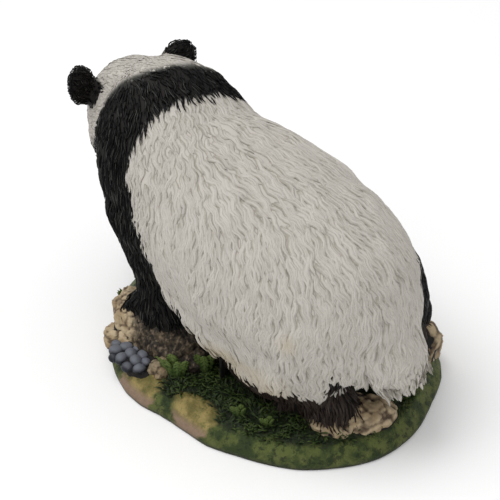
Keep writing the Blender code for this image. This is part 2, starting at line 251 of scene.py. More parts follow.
class Skin:
    """The nearest skin to any place near a form. Each cell of a box laid over the form keeps the number of
    its nearest point, spread cell by cell outwards, and a place is dropped onto the flat patch there."""

    def __init__(self, points, outward, cell, reach):
        self.points, self.outward, self.cell = points, outward, cell
        self.low = points.min(0) - (reach + 1) * cell
        shape = np.ceil((points.max(0) - self.low) / cell).astype(int) + reach + 2
        self.nearest = np.full(shape, -1, dtype=np.int64)
        home = ((points - self.low) / cell).astype(int)
        self.nearest[tuple(home.T)] = np.arange(len(points))
        distance = np.full(shape, np.inf)
        for _ in range(reach):
            for axis, step in ((0, 1), (0, -1), (1, 1), (1, -1), (2, 1), (2, -1)):
                offered = np.roll(self.nearest, step, axis)
                where = np.nonzero((offered >= 0) & (offered != self.nearest))
                middle = self.low + (np.stack(where, -1) + 0.5) * cell
                gap = ((middle - points[offered[where]]) ** 2).sum(-1)
                closer = gap < distance[where]
                where = tuple(index[closer] for index in where)
                self.nearest[where] = offered[where]
                distance[where] = gap[closer]

    def under(self, places):
        """The skin straight under each place, and the outward direction there."""
        home = ((places - self.low) / self.cell).astype(int)
        home = np.clip(home, 0, np.array(self.nearest.shape) - 1)
        point = self.nearest[tuple(np.moveaxis(home, -1, 0))]
        outward = self.outward[point]
        height = ((places - self.points[point]) * outward).sum(-1, keepdims=True)
        return places - outward * height, outward


form_points, form_outward, form_faces = fine_copy("panda_figurine", 1.7 * MM, 4)
skin = Skin(form_points, form_outward, 1.6 * MM, 6)

# Rear edge of the black shoulder band: degrees round the trunk, straight up to the left, and millimetres along it
BAND_REAR = ((-130, 6), (-118, -22), (-95, -27), (-60, -38), (-24, -37.5), (-1, -37), (10, -39), (22, -42),
             (32, -44), (52, -46), (64, -45), (73, -40), (84, -37), (94, -31), (107, -29), (117, -20), (119, -11),
             (123, -3), (130, 6))
# Rear edge of the white head: degrees round the head from straight up, and millimetres forward of its centre
CROWN_REAR = ((-180, 9), (-128, 6), (-102, -2), (-76, -16), (-50, -34), (-24, -47), (0, -44), (21, -38), (32, -33),
              (39, -26), (51, -22), (64, -18), (76, -17), (102, -2), (128, 6), (180, 9))
# Height that the black of the belly and hind legs reaches, by millimetres along the body
BELLY_BLACK = ((-12, 50), (-3, 44), (8, 38), (20, 34.5), (30, 33), (40, 34), (50, 35.5), (57, 36), (61, 32), (63, 30),
               (65, 36), (67, 45), (70, 49), (74, 46), (78, 30), (80, 27))


def past_crown(points):
    """Millimetres of each point ahead of the crown's rear edge, and whether it is near enough to be head."""
    side, forward, up = from_head(points)
    edge = np.interp(np.degrees(np.arctan2(side, up)), *np.array(CROWN_REAR).T)
    return forward - edge, np.hypot(side, up) < HEAD_REACH


def soot(points):
    """How black the fur is, from 0 to 1: the band over the shoulders with the front legs, the belly and hind
    legs below a line, the right haunch below a curve, the ears and the patches round the eyes."""
    x, y, z = fields(points / MM)
    side, forward, up = from_head(points)
    round_trunk = np.degrees(np.arctan2(x - 4, z - 80))
    behind = y - np.interp(round_trunk, *np.array(BAND_REAR).T)
    before, near_head = past_crown(points)
    head = ramp(before, -1.5, 1.5) * near_head
    band = ramp(-behind, -1, 1) * (1 - head)
    belly = ramp(np.interp(y, *np.array(BELLY_BLACK).T) - z, -1, 1) * ramp(behind, -2, 0)
    legs = ramp(z, 30, 22) * (1 - head)
    ear_gap = np.sqrt(((np.abs(side) - 26.5) / 11) ** 2 + ((forward - 3) / 7) ** 2 + ((up - 21) / 12.5) ** 2)
    ears = ramp(ear_gap, 1.08, 0.98) * ramp(np.abs(side), 17, 19)
    patch = np.sqrt(((np.abs(side) - 11.5 - 0.25 * (3 - up)) / 5.6) ** 2 + ((up - 2) / 7.2) ** 2)
    patches = ramp(patch, 1.12, 0.95) * (forward > 12)
    hip = np.interp(y, (14, 24, 36, 50, 62), (36, 50, 63, 74, 79))
    thigh = ramp(-x, 22, 26) * ramp(hip - z, -2, 2) * ramp(y, 14, 20)
    return np.maximum.reduce([band, belly, thigh, legs, ears, patches])


def casting_paint():
    """Groove bottoms: a grey-beige wash over the white coat and near black under the black one."""
    paint = Paint("groove_wash")
    cloud = paint.speckle(6)
    light = paint.mix(cloud, (0.46, 0.432, 0.39), (0.52, 0.492, 0.45))
    dark = paint.mix(cloud, (0.004, 0.004, 0.004), (0.016, 0.014, 0.012))
    return paint.finish(paint.mix(paint.painted("soot"), light, dark), 0.7, paint.speckle(0.8), 0.2)


BASE_LENGTH, BASE_WIDTH, BASE_HEIGHT = 174 * MM, 137 * MM, 10 * MM
# Shares of the half width and half length, leaves, height in millimetres, lean in degrees
LEAF_TUFTS = ((.74, -.08, 5, 17, 35), (.56, 0, 3, 15, 45), (.68, .37, 4, 10, 50), (.61, .52, 4, 9, 55),
              (.49, -.78, 3, 7, -60), (-.73, .3, 4, 12, 180), (-.7, -.48, 5, 14, 200), (0, -.82, 4, 10, -90))


def on_base(across, along, height):
    """A place given by shares of the base's half width and half length, and its height."""
    return np.array([across * BASE_WIDTH / 2, along * BASE_LENGTH / 2, height])


def in_tuft(points):
    """True on the leaf tufts: within 0.7 of a tuft's height of its root, and no higher than it reaches."""
    inside = np.zeros(len(points), dtype=bool)
    for across, along, _, tall, _ in LEAF_TUFTS:
        gap = np.hypot(*fields(points - on_base(across, along, 0))[:2])
        inside |= (gap < 0.7 * tall * MM) & (points[:, 2] < BASE_HEIGHT + (tall + 3) * MM)
    return inside


casting_soot = soot(form_points)
# Full under black fur and near the ground, a tenth under white fur
set_back = SET_BACK * (0.1 + 0.9 * np.maximum(casting_soot, ramp(form_points[:, 2], 24 * MM, 18 * MM)))
casting_points = form_points - form_outward * set_back[:, None]
# The leaves are made again as leaf_tufts, so here they are pressed into the ground
pressed = in_tuft(form_points)
casting_points[pressed, 2] = np.minimum(casting_points[pressed, 2], BASE_HEIGHT - 0.5 * MM)
casting = piece("panda_casting", casting_points, [form_faces], casting_paint(), soot=casting_soot)
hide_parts("panda_figurine")

# --- Ground: the oval base the panda stands on ---
# Part of the casting: an uneven oval slab with an upright edge and a sloping rim,
# painted dark green under the grass, light green on the rim and olive on the bare earth.

RIM_EDGE, RIM_SLOPE = 3 * MM, 9 * MM
inner = 1 - RIM_SLOPE / (BASE_WIDTH / 2)

# Angle in degrees from the left side, and the share of the oval's reach there
BASE_OUTLINE = ((0, .955), (5, .945), (12, .95), (20, .972), (31, .964), (38, .972), (50, .988), (62, .985),
                (78, .993), (90, .986), (110, .981), (117, .988), (123, 1.008), (130, 1.036), (137, 1.05),
                (146, 1.042), (160, 1.01), (180, .995), (205, 1.005), (230, .995), (252, 1.005), (275, .99),
                (288, .97), (298, .945), (310, .95), (322, .992), (330, .991), (337, 1.004), (346, 1.012),
                (353, .995), (360, .955))


def outline(angle):
    """The base's edge at each angle: an oval drawn in or out as the casting's edge wanders."""
    turns, shares = np.array(BASE_OUTLINE).T
    wave = np.interp(angle, np.radians(turns), shares)
    return np.stack([BASE_WIDTH / 2 * wave * np.cos(angle), BASE_LENGTH / 2 * wave * np.sin(angle)], -1)


def ring_faces(rings, around):
    """Four-sided faces between each ring of points and the next, closed round the ring."""
    row = np.arange(rings - 1)[:, None] * around
    here = np.arange(around)[None]
    then = (here + 1) % around
    return np.stack([row + here, row + then, row + around + then, row + around + here], -1).reshape(-1, 4)


def capped(rings, around):
    """The same, with one face across each end ring."""
    last = np.arange(around) + (rings - 1) * around
    return [ring_faces(rings, around), np.arange(around)[::-1][None], last[None]]


def bare_earth(points):
    """1 on the two bare olive patches at the left edge of the base."""
    x, y, _ = fields(points / MM)
    first = np.hypot((x - 63) / 11, (y + 17) / 12)
    second = np.hypot((x - 58) / 8, (y - 16) / 13)
    return ramp(np.minimum(first, second) + 0.15 * grain(points, 4, 5), 1.05, 0.85)


def ground_height(points, share):
    """Height of the ground, share being the part of the way to the edge: the base's top with 0.6 mm swells
    and 0.35 mm lumps, falling over the rim to its edge."""
    flat = points * [1, 1, 0]
    swells = MM * (0.5 + 0.6 * grain(flat, 14, 3) + 0.35 * grain(flat, 3.5, 4))
    falling = np.interp(share, (inner - 0.02, inner, (inner + 1.1) / 2.1, 1), (1, 0.98, 0.7, 0))
    return RIM_EDGE + (BASE_HEIGHT + swells - RIM_EDGE) * falling


def ground_paint():
    """Earth and turf: dark green, olive patches, a light green rim and a dark line under it."""
    paint = Paint("painted_ground")
    fine, cloud = paint.speckle(1.6), paint.speckle(8, 5, 0.6)
    turf = paint.mix(paint.mask(fine, 0.35, 0.7), (0.005, 0.008, 0.003), (0.016, 0.027, 0.007))
    streak = paint.speckle(3.2, 5, 0.75)
    olive = paint.mix(paint.mask(cloud, 0.38, 0.62), (0.13, 0.108, 0.03), (0.3, 0.232, 0.085))
    olive = paint.mix(paint.mask(streak, 0.5, 0.65) * 0.7, olive, (0.07, 0.085, 0.018))
    rim = paint.mix(paint.mask(cloud, 0.4, 0.6), (0.026, 0.041, 0.009), (0.085, 0.106, 0.025))
    rim = paint.mix(paint.mask(streak, 0.5, 0.6) * 0.8, rim, (0.01, 0.02, 0.004))
    clay = paint.mix(fine, (0.19, 0.125, 0.085), (0.27, 0.19, 0.13))
    bare = paint.painted("bare")
    edge = paint.painted("edge")
    colour = paint.mix(bare, paint.mix(edge, turf, rim), olive)
    colour = paint.mix(paint.painted("lip") * paint.mask(bare + cloud * 0.5, 0.2, 0.8), colour, clay)
    colour = paint.mix(paint.painted("foot"), colour, (0.018, 0.022, 0.01))
    return paint.finish(colour, 0.62 - 0.12 * fine, fine + streak * 2, 0.4)


TURNS, SHARES = 288, np.concatenate([np.linspace(0.02, 0.86, 44), np.linspace(0.875, 1, 9)])[::-1]
angle = np.arange(TURNS) * 2 * np.pi / TURNS
edge_line = outline(angle)
tops = edge_line * SHARES[:, None, None]
flat = np.concatenate([tops, np.zeros((*tops.shape[:2], 1))], -1)
height = ground_height(flat, SHARES[:, None])
swell = 1 + 0.2 * MM / (BASE_WIDTH / 2)
top = np.concatenate([tops * swell, height[..., None]], -1)
skirt = [np.concatenate([edge_line * swell * s, np.full((TURNS, 1), h)], -1)[None] for s, h in
         ((0.5, 0), (0.99, 0), (1, 0.4 * MM), (1.002, 1.6 * MM))]
base_points = np.concatenate([*skirt, top], 0)
base_share = np.concatenate([(0.5, 1, 1, 1), SHARES])[:, None]
piece("ground_base", base_points, capped(len(base_points), TURNS), ground_paint(), bare=bare_earth(base_points),
      edge=ramp(base_share + 0.025 * grain(base_points, 5, 8), inner + 0.02, inner + 0.06),
      lip=ramp(base_points[..., 2], 6.5 * MM, 4.5 * MM), foot=ramp(base_points[..., 2], 1.9 * MM, 0.9 * MM))

# --- Rocks: boulders under the paws ---
# Part of the casting: weathered boulders at the front and under the hind feet, cut by
# flat breaks, covered in rounded lumps, tan on their high spots and brown in the cracks. Under
# the body the brown is painted shade as well as wash; the front boulders' side towards the key
# light is kept tan, a painted highlight.

# x, y, z, half sizes along them in millimetres, turn in degrees, size of the lumps, share of brown:
# brown wash, and painted shade as well on the rocks under the body
ROCKS = ((38, -35, 3, 17.5, 25, 16, 15, 2.6, 0.85), (49.5, -41, -1, 8.5, 12, 9, 20, 2.6, 0.3),
         (33, -58, 2, 8, 9, 11, 20, 2.6, 0.3), (33, -10, 0, 14, 10, 8, 0, 2.6, 0.9),
         (52, -15, 0, 7, 5, 5, 30, 3.0, 0.5), (-27, -56, 0, 19, 20, 7, -10, 3.2, 0.6),
         (8, -66, 0, 15, 11, 8, 0, 3.2, 0.6), (8, 66, 0, 17, 11, 8, -35, 4.4, 0.1),
         (20, 62, 0, 9, 10, 6, 0, 4.0, 0.2), (-44, 51.5, 1, 12.5, 14.5, 14.5, 15, 4.8, 0.15))


def cobbles(points, size, seed):
    """Distance, in lump sizes, from each point to the nearest of the stones scattered one to a lattice cell."""
    spot = points / size
    cell = np.floor(spot).astype(np.int64)
    gap = np.full(points.shape[:-1], 9.0)
    for step in np.ndindex(3, 3, 3):
        near = cell + np.array(step) - 1
        stone = near + np.stack([dice(near, seed + k) for k in range(3)], -1)
        gap = np.minimum(gap, np.linalg.norm(spot - stone, axis=-1))
    return gap


def globe(turns, rings):
    """Unit directions over a ball, ring by ring from pole to pole, and the faces that close it."""
    fall = np.linspace(-1, 1, rings)[:, None] * (np.pi / 2 * 0.985)
    spin = np.arange(turns)[None] * 2 * np.pi / turns
    ways = np.stack([np.cos(fall) * np.cos(spin), np.cos(fall) * np.sin(spin), np.sin(fall) + 0 * spin], -1)
    return ways.reshape(-1, 3), capped(rings, turns)


def spun(degrees):
    """The matrix that turns about the upright axis."""
    return turned(0, math.radians(degrees))


def together(parts):
    """Several closed shapes, each a pair of points and faces, as one, the faces grouped by size."""
    points, by_size, count = [], {}, 0
    for shape, faces in parts:
        for kind in faces:
            by_size.setdefault(kind.shape[1], []).append(kind + count)
        points.append(shape)
        count += len(shape)
    return np.concatenate(points), [np.concatenate(kinds) for kinds in by_size.values()]


def rock(x, y, z, rx, ry, rz, turn, lump, brown):
    """A boulder: in each direction the nearest of 18 cutting planes, then lumps that fall off as the square of
    the distance. Returns points, faces, how deep each point lies in a crack, and its share of brown."""
    noise.seed_set(int(100 + x + 3 * y))
    planes = [(noise.random_unit_vector(), 0.8 + 0.22 * noise.random()) for _ in range(18)]
    facing = np.array([tuple(direction) for direction, _ in planes] + [(0, 0, 1)])
    depth = np.array([far for _, far in planes] + [0.84])
    big = max(rx, ry) > 13
    ways, faces = globe(120 if big else 76, 60 if big else 38)
    reach = np.minimum((depth / np.maximum(0.3, ways @ facing.T)).min(1), 1.08)
    shape = ways * reach[:, None] * [rx, ry, rz] * MM
    shape = shape @ spun(turn).T + np.array([x, y, z + 10]) * MM
    outward = unit(ways / [rx, ry, rz]) @ spun(turn).T
    coarse, fine = cobbles(shape, lump * MM, 11), cobbles(shape, lump * 0.45 * MM, 21)
    rough = 0.25 * grain(shape, 1.2, 9) + 0.6 * grain(shape, 5, 10)
    lift = 0.9 - 0.45 * lump * coarse**2 - 0.16 * lump * fine**2 + rough
    shape = shape + outward * lift[:, None] * MM
    shape[:, 2] = np.maximum(shape[:, 2], 1 * MM)
    return shape, faces, ramp(coarse, 0.4, 0.8) * 0.8 + ramp(fine, 0.4, 0.9) * 0.45, np.full(len(shape), brown)


def rock_paint():
    """Weathered stone: tan dry-brush on the high spots, brown wash in the cracks and, streaked downwards, over
    the shaded boulder, where the brown is painted shade as well as wash and the cracks go near black."""
    paint = Paint("painted_rock")
    cloud, fine = paint.speckle(7), paint.speckle(1.3)
    upright = paint.node("ShaderNodeVectorMath", {"operation": "MULTIPLY"}, {0: paint.place, 1: (1, 1, 0.28)})
    streak = paint.speckle(1.5, 4.0, 0.6, upright)
    tan = paint.mix(paint.mask(cloud, 0.35, 0.65), (0.3, 0.222, 0.128), (0.48, 0.385, 0.25))
    brown = paint.mix(paint.mask(streak, 0.47, 0.66), (0.012, 0.009, 0.007), (0.15, 0.112, 0.076))
    # The brown share: brown wash, and on the rocks under the body painted shade as well, with near black cracks
    wash = paint.painted("brown") + (cloud - 0.5) * 0.7 + (fine - 0.5) * 0.5
    shaded = paint.mask(wash, 0.1, 1.0)
    stone = paint.mix(shaded, tan, brown)
    deep = paint.mix(shaded, (0.085, 0.056, 0.034), (0.008, 0.006, 0.004))
    colour = paint.mix(paint.mask(paint.painted("crack") + fine * 0.3, 0.25, 1.15), stone, deep)
    return paint.finish(colour, 0.66, fine + streak, 0.3)


cut = [rock(*row) for row in ROCKS]
rock_points, rock_faces = together([(shape, faces) for shape, faces, _, _ in cut])
crack, brown = (np.concatenate([row[k] for row in cut]) for k in (2, 3))
# Painted highlight: the front boulders lose most of their brown on the side towards the key light and stay tan
key_lit_side = ramp(0.731 * rock_points[:, 0] - 0.683 * rock_points[:, 1], 58 * MM, 65 * MM)
piece("boulders", rock_points, rock_faces, rock_paint(), crack=crack, brown=brown * (1 - 0.9 * key_lit_side))

# --- Pebbles: the blue-grey cluster at the front left ---
# Part of the casting: a dozen smooth river pebbles pressed against the boulder,
# painted slate blue with a paler top, dry-brush and painted highlight, and painted shade low between them.

# Shares of the half width and half length, and radius in millimetres
PEBBLES = ((.88, -.43, 3.4), (.81, -.41, 3.4), (.9, -.36, 3.5), (.83, -.35, 3.6), (.92, -.29, 3.3), (.85, -.29, 3.6),
           (.78, -.3, 3.2), (.88, -.23, 3.1), (.76, -.36, 2.8), (.84, -.465, 2.7), (.93, -.4, 2.6), (.81, -.245, 2.6))


def pebble(across, along, radius):
    """A flattened ball, r by 0.85r by 0.72r, dimpled by slow noise and turned, its centre 1.9 mm above the
    base's top and lower out on the rim."""
    ways, faces = globe(28, 16)
    dimpled = 1 + 0.09 * grain(ways, 800, int(radius * 10))
    shape = ways * np.array([1, 0.85, 0.72]) * (radius + 0.1) * MM * dimpled[:, None]
    shape = shape @ spun(math.degrees(9 * radius)).T
    height = BASE_HEIGHT + (1.9 - 160 * max(0, across - 0.84) ** 2) * MM
    return shape + on_base(across, along, height), faces


def pebble_paint():
    """Slate blue, paler on top as dry-brush and painted highlight, near black low between the stones as painted shade.
    """
    paint = Paint("painted_pebble")
    fine, cloud = paint.speckle(1.5), paint.speckle(5)
    # Painted light: near black low on each pebble where shade falls between them, paler towards the top as dry-brush
    # and painted highlight
    dry = paint.mask(paint.painted("high") + cloud * 0.5, 0.35, 1.1)
    colour = paint.mix(dry, (0.01, 0.011, 0.015), (0.125, 0.132, 0.155))
    colour = paint.mix(paint.mask(fine, 0.55, 0.75) * 0.5, colour, (0.12, 0.125, 0.135))
    return paint.finish(colour, 0.5, fine, 0.1)


pebble_points, pebble_faces = together([pebble(*row) for row in PEBBLES])
piece("pebbles", pebble_points, pebble_faces, pebble_paint(), high=ramp(pebble_points[:, 2], 10.5 * MM, 15 * MM))

# --- Coat: the white fur of back, flanks, rump and head ---
# Carved in the casting as long wavy locks, each lying on the next like shingles, and painted
# ivory with a grey-beige wash that stays in the grooves and painted shade on each lock's root,
# under the tip of the lock before. The locks on the head are short and flat.

TAIL_ROOT = np.array([1, 64, 74]) * MM
NOSE = on_head(0, 33.8, -4.5)


def rolled(vectors, axes, angles):
    """Each vector turned about its own unit axis: v cos a + (axis x v) sin a, for v square to the axis."""
    return vectors * np.cos(angles)[..., None] + np.cross(axes, vectors) * np.sin(angles)[..., None]


def lie(points, outward):
    """Which way the coat lies: back along the spine, down the flanks and legs, out from the nose, fanned out
    over the tail and swirled by slow noise. On the underside it hangs partly free of the skin."""
    top = np.clip(outward[..., 2:], 0, 1) ** 2
    flow = np.concatenate([0 * top, 0.22 + 0.78 * top, -1 + 0 * top], -1)
    side, forward, up = from_head(points)
    head = ramp(forward, -30, -14) * (np.hypot(side, up) < HEAD_REACH)
    flow = flow * (1 - head[..., None]) + 1.4 * unit(points - NOSE) * head[..., None]
    x, y, z = fields(points / MM)
    fan = ramp(y, 74, 80) * ramp(np.abs(x - 3), 30, 20) * ramp(z, 72, 60)
    flow = flow * (1 - fan[..., None]) + 1.6 * unit(points - TAIL_ROOT) * fan[..., None]
    droop = 0.55 * ramp(-outward[..., 2:], 0.1, 0.6)
    flow = unit(flow - outward * (flow * outward).sum(-1, keepdims=True) * (1 - droop) + 1e-9)
    return rolled(flow, outward, 0.38 * grain(points, 17, 31) + 0.22 * grain(points, 6, 32))


def comb(roots, length, wave, sway, rise, stations, stiff, seed):
    """Paths of locks combed over the skin. From its root each lock steps along the lie of the coat, turned to
    and fro as a wave of the given length, and keeps the stiff share of its last direction. It rides on the skin
    at the heights of rise, and where the skin bends away under a hanging edge it runs out straight."""
    random = np.random.default_rng(seed)
    step = (length / (stations - 1))[:, None]
    place, outward = skin.under(roots)
    heading = lie(place, outward)
    phase = 2 * np.pi * ((roots[:, 1] - roots[:, 2]) / wave + 0.9 * grain(roots, 15, seed))
    phase += random.normal(0, 0.3, len(roots))
    bias = random.normal(0, 0.13, len(roots))
    place = place + outward * rise[0]
    paths, lifts = [place], [outward]
    for k in range(1, stations):
        turn = bias + sway * np.cos(phase + 2 * np.pi * k * step[:, 0] / wave)
        heading = unit(stiff * heading + (1 - stiff) * rolled(lie(place, outward), outward, turn))
        ahead = place + heading * step
        foot, facing = skin.under(ahead)
        near = np.linalg.norm(foot - ahead, axis=-1, keepdims=True) < 2.5 * step
        outward = np.where(near, facing, outward)
        height = ((ahead - foot) * outward).sum(-1, keepdims=True)
        hanging = 0.25 + 0.55 * ramp(-outward[:, 2:], -0.1, 0.4)
        place = np.where(near, foot + outward * np.maximum(height * hanging, rise[k]), ahead)
        paths.append(place)
        lifts.append(outward)
    return np.stack(paths, 1), unit(np.stack(lifts, 1))


def locks(paths, lifts, half_width, thickness, profile, section, roll=0.0):
    """Closed tapered tubes along paths. At each station the section, given as (across, up) shares, is set square
    to the path, scaled by half width, thickness and the profile. Returns the points by lock, station and side,
    and the faces."""
    along = unit(np.gradient(paths, axis=1))
    across = unit(np.cross(lifts, along))
    up = np.cross(along, across)
    across, up = rolled(across, along, roll), rolled(up, along, roll)
    wide = (half_width * profile)[..., None, None] * section[:, 0, None]
    tall = (thickness * profile)[..., None, None] * section[:, 1, None]
    points = paths[:, :, None] + across[:, :, None] * wide + up[:, :, None] * tall
    number, stations, sides = points.shape[:3]
    first = (np.arange(number) * stations * sides)[:, None, None]
    return points, [(first + kind[None]).reshape(-1, kind.shape[1]) for kind in capped(stations, sides)]


def spaced(chosen, wide, long, seed):
    """One of the chosen points, at random, from each box that holds any. The boxes are wide across the coat
    and long the way it lies: upright on the flanks, slanting on the shoulders of the back, and along it on top."""
    points = form_points[chosen]
    slope = np.digitize(form_outward[chosen, 2], (0.45, 0.85))
    box = np.array([(wide, wide, long), (wide * 1.2, (wide + long) / 2, (wide + long) / 2), (wide, long, long)])[slope]
    order = np.random.default_rng(seed).permutation(len(points))
    keys = np.column_stack([slope, np.floor(points / box)]).astype(int)
    _, kept = np.unique(keys[order], axis=0, return_index=True)
    return points[order[kept]]


# Ellipsoids in millimetres round the paws, where the fur reaches down onto rock
PAWS = ((34, -31, 30, 12.5, 14, 12), (35, -37, 28, 12, 14, 6), (33, -36, 40, 16, 18, 14),
        (-28, -57, 18, 14, 17, 9), (-26, -53, 30, 16, 17, 16), (15, 46, 23, 12, 13, 6), (18, 46, 28, 17, 20, 11),
        (-38, 45, 18, 14, 17, 9), (-32, 44, 28, 18, 20, 14))


def furred(points):
    """True on the panda and false on the ground and the rocks: above the ground, and either off every
    rock or within the ellipsoids round the paws."""
    x, y, z = fields(points / MM)
    off_rock = np.ones(len(points), dtype=bool)
    for rx, ry, rz, hx, hy, hz, turn, _, _ in ROCKS:
        local = (points / MM - [rx, ry, rz + 10]) @ spun(turn) / [hx, hy, hz]
        off_rock &= (local**2).sum(1) > 1.18
    paw = np.zeros(len(points), dtype=bool)
    for px, py, pz, hx, hy, hz in PAWS:
        paw |= ((x - px) / hx) ** 2 + ((y - py) / hy) ** 2 + ((z - pz) / hz) ** 2 < 1
    return (z > 13) & (off_rock & (z > 15) | paw) & ~in_tuft(points)


def ivory_paint():
    """Ivory fur: grey-beige wash in the grooves and painted shade on each lock's root under the lock before,
    warm stain low on the flank, smoke grey where it meets the black, and fine hair lines scribed along each lock."""
    paint = Paint("ivory_fur")
    cloud, fine = paint.speckle(12), paint.speckle(1.1)
    ridge = paint.mix(cloud, (0.505, 0.475, 0.43), (0.565, 0.536, 0.492))
    wash = paint.mix(cloud, (0.3, 0.276, 0.23), (0.35, 0.325, 0.278))
    # Wash on each lock's sides, and painted shade on its root where the lock before lies over it
    groove = paint.painted("groove") + (fine - 0.5) * 0.5 + (paint.painted("tone") - 0.5) * 0.4
    colour = paint.mix(paint.mask(groove, 0.15, 0.85) * 0.85, ridge, wash)
    lines = paint.painted("across") * 9.5 + paint.painted("tone") * 6
    scribed = paint.node("ShaderNodeMath", {"operation": "SINE"}, {0: lines})
    colour = paint.mix(paint.mask(scribed + (fine - 0.5) * 1.2, 0.35, 1.0) * 0.42, colour, wash)
    colour = paint.mix(paint.painted("stain") * 0.75, colour, (0.52, 0.43, 0.27))
    colour = paint.mix(paint.painted("smoke"), colour, (0.02, 0.021, 0.017))
    hairs = paint.node("ShaderNodeMath", {"operation": "SINE"}, {0: paint.painted("across") * 26})
    return paint.finish(colour, 0.66, hairs * 0.5 + fine, 0.12)


LOCK_SECTION = np.array([(1, 0), (0.42, 0.85), (-0.42, 0.85), (-1, 0), (0, -0.7)])
LOCK_GROOVE = np.array([1, 0.1, 0, 1, 1])
LOCK_ACROSS = np.array([1, 0.7, 0.3, 0, 0.5])
# Painted shade along each lock, station by station: darkest at the root, under the tip of the lock before
LOCK_SHADE = np.array([0.9, 0.45, 0.2, 0.05, 0, 0, 0])
LOCK_TAPER = np.array([0.65, 0.95, 1.0, 0.98, 0.9, 0.68, 0.06])
LOCK_RISE = np.array([-0.6, -0.4, -0.3, -0.22, -0.15, -0.05, 0.0]) * MM

blackness = soot(form_points + grain(form_points, 4, 41)[:, None] * 1.3 * MM)
fur_points = furred(form_points)
white = np.nonzero(fur_points & (blackness < 0.5))[0]
on_skull = from_head(form_points[white])[1] > np.interp(form_points[white, 2] / MM, (70, 131), (-2, -50))
on_skull &= form_points[white, 1] < -48 * MM


def stain(points):
    """Warm yellow-beige: along the lower edge of the left flank, with one spot on the haunch."""
    x, y, z = fields(points / MM)
    low = ramp(z, 46, 34) * ramp(y, -14, -4) * ramp(y, 62, 40) * (x > 0)
    spot = np.exp(-(((y - 57) / 4) ** 2 + ((z - 62) / 4) ** 2)) * (x > 0)
    return np.clip(low + 0.6 * spot, 0, 1) * (0.6 + 0.4 * grain(points, 8, 51))


def smoke(points):
    """How far the black spray of the band drifts into the white: gone 7 mm ahead of the crown's rear edge."""
    before, near_head = past_crown(points)
    return ramp(before, 7, -2) * near_head * (points[..., 1] < -48 * MM)


def body_locks(roots):
    """Length, half width and thickness of the body's locks: largest away from the black band, and
    short along the hems and in the notch beside the tail."""
    off_band = ramp(roots[:, 1], -42 * MM, 2 * MM)
    notch = np.exp(-(((roots - np.array([12, 71, 47]) * MM) / [9 * MM, 8 * MM, 11 * MM]) ** 2).sum(1))
    tail_hem = ramp(roots[:, 1], 78 * MM, 88 * MM) * ramp(roots[:, 2], 62 * MM, 48 * MM)
    hem = np.maximum.reduce([tail_hem, 0.45 * ramp(roots[:, 2], 48 * MM, 38 * MM), notch])
    length = (10.0 + 5.0 * off_band) * (1 - 0.6 * hem) * MM
    return length, (1 + 0.2 * off_band) * MM, (0.52 + 0.28 * off_band) * MM


def head_locks(roots):
    """The same for the head, where all locks are short and flat."""
    return [np.full(len(roots), size) for size in (5.0 * MM, 0.9 * MM, 0.17 * MM)]


def white_coat(name, chosen, wide, long, sizes, wave, sway, rise, material, seed):
    """One share of the white coat: spaced roots, combed, swept into locks and painted."""
    random = np.random.default_rng(seed)
    roots = spaced(chosen, wide, long, seed)
    number = len(roots)
    length, half_width, thickness = sizes(roots)
    length = length * random.uniform(0.78, 1.15, number)
    paths, lifts = comb(roots, length, wave, sway, rise, len(LOCK_TAPER), 0.35, seed)
    half_width = half_width * random.uniform(0.8, 1.15, number)
    roll = np.repeat(random.normal(0, 0.16, (number, 1)), len(LOCK_TAPER), 1)
    points, faces = locks(paths, lifts, half_width[:, None], thickness[:, None], LOCK_TAPER, LOCK_SECTION, roll)
    # The lock's sides carry the grooves' wash; its root carries painted shade from LOCK_SHADE
    piece(name, points, faces, material, [1, 0, 0, 2, 0], groove=np.maximum(LOCK_GROOVE, LOCK_SHADE[:, None]),
          stain=stain(points), smoke=smoke(points), across=LOCK_ACROSS, tone=random.uniform(0, 1, (number, 1, 1)))


ivory = ivory_paint()
on_left = form_points[white, 0] > 6 * MM
for label, part in (("left", on_left), ("right", ~on_left)):
    white_coat("white_coat_" + label, white[part & ~on_skull], 1.9 * MM, 5.8 * MM, body_locks, 10 * MM, 0.62,
               LOCK_RISE, ivory, 61)
white_coat("white_coat_head", white[on_skull], 1.9 * MM, 2.4 * MM, head_locks, 8 * MM, 0.25,
           LOCK_RISE * 0.5, ivory, 62)

# --- Black coat: shoulder band, legs, ears and eye patches ---
# Carved finer than the white coat, in short straight hairs, and painted satin black,
# turning dark brown low on the hind legs; at the band's rear edge its tips lie over the white.


def black_paint():
    """Satin black, grey-green on the crests of some hairs as dry-brush and painted glint, dark brown low on the legs.
    """
    paint = Paint("black_fur", Specular_IOR_Level=0.1)
    fine = paint.speckle(2.0)
    # Painted glint: the crest line of each hair is lightened by its tone, partly dry-brush and partly painted glint
    crest_dry_brush_and_glint = paint.mask(paint.painted("crest") * (paint.painted("tone") * 0.8 + 0.2) + (fine - 0.5) * 0.2, 0.52, 1.0)
    colour = paint.mix(crest_dry_brush_and_glint, (0.0012, 0.0012, 0.0012), (0.085, 0.086, 0.076))
    brown = paint.mix(paint.painted("tone"), (0.02, 0.013, 0.01), (0.06, 0.044, 0.036))
    colour = paint.mix(paint.painted("rust") * 0.8, colour, brown)
    return paint.finish(colour, 0.42 - 0.1 * fine, fine, 0.08)


HAIR_SECTION = np.array([(1, -0.3), (0, 1), (-1, -0.3)])
HAIR_TAPER = np.array([0.7, 1.0, 0.95, 0.7, 0.08])
HAIR_RISE = np.array([-0.4, 0, 0.25, 0.5, 0.7]) * MM


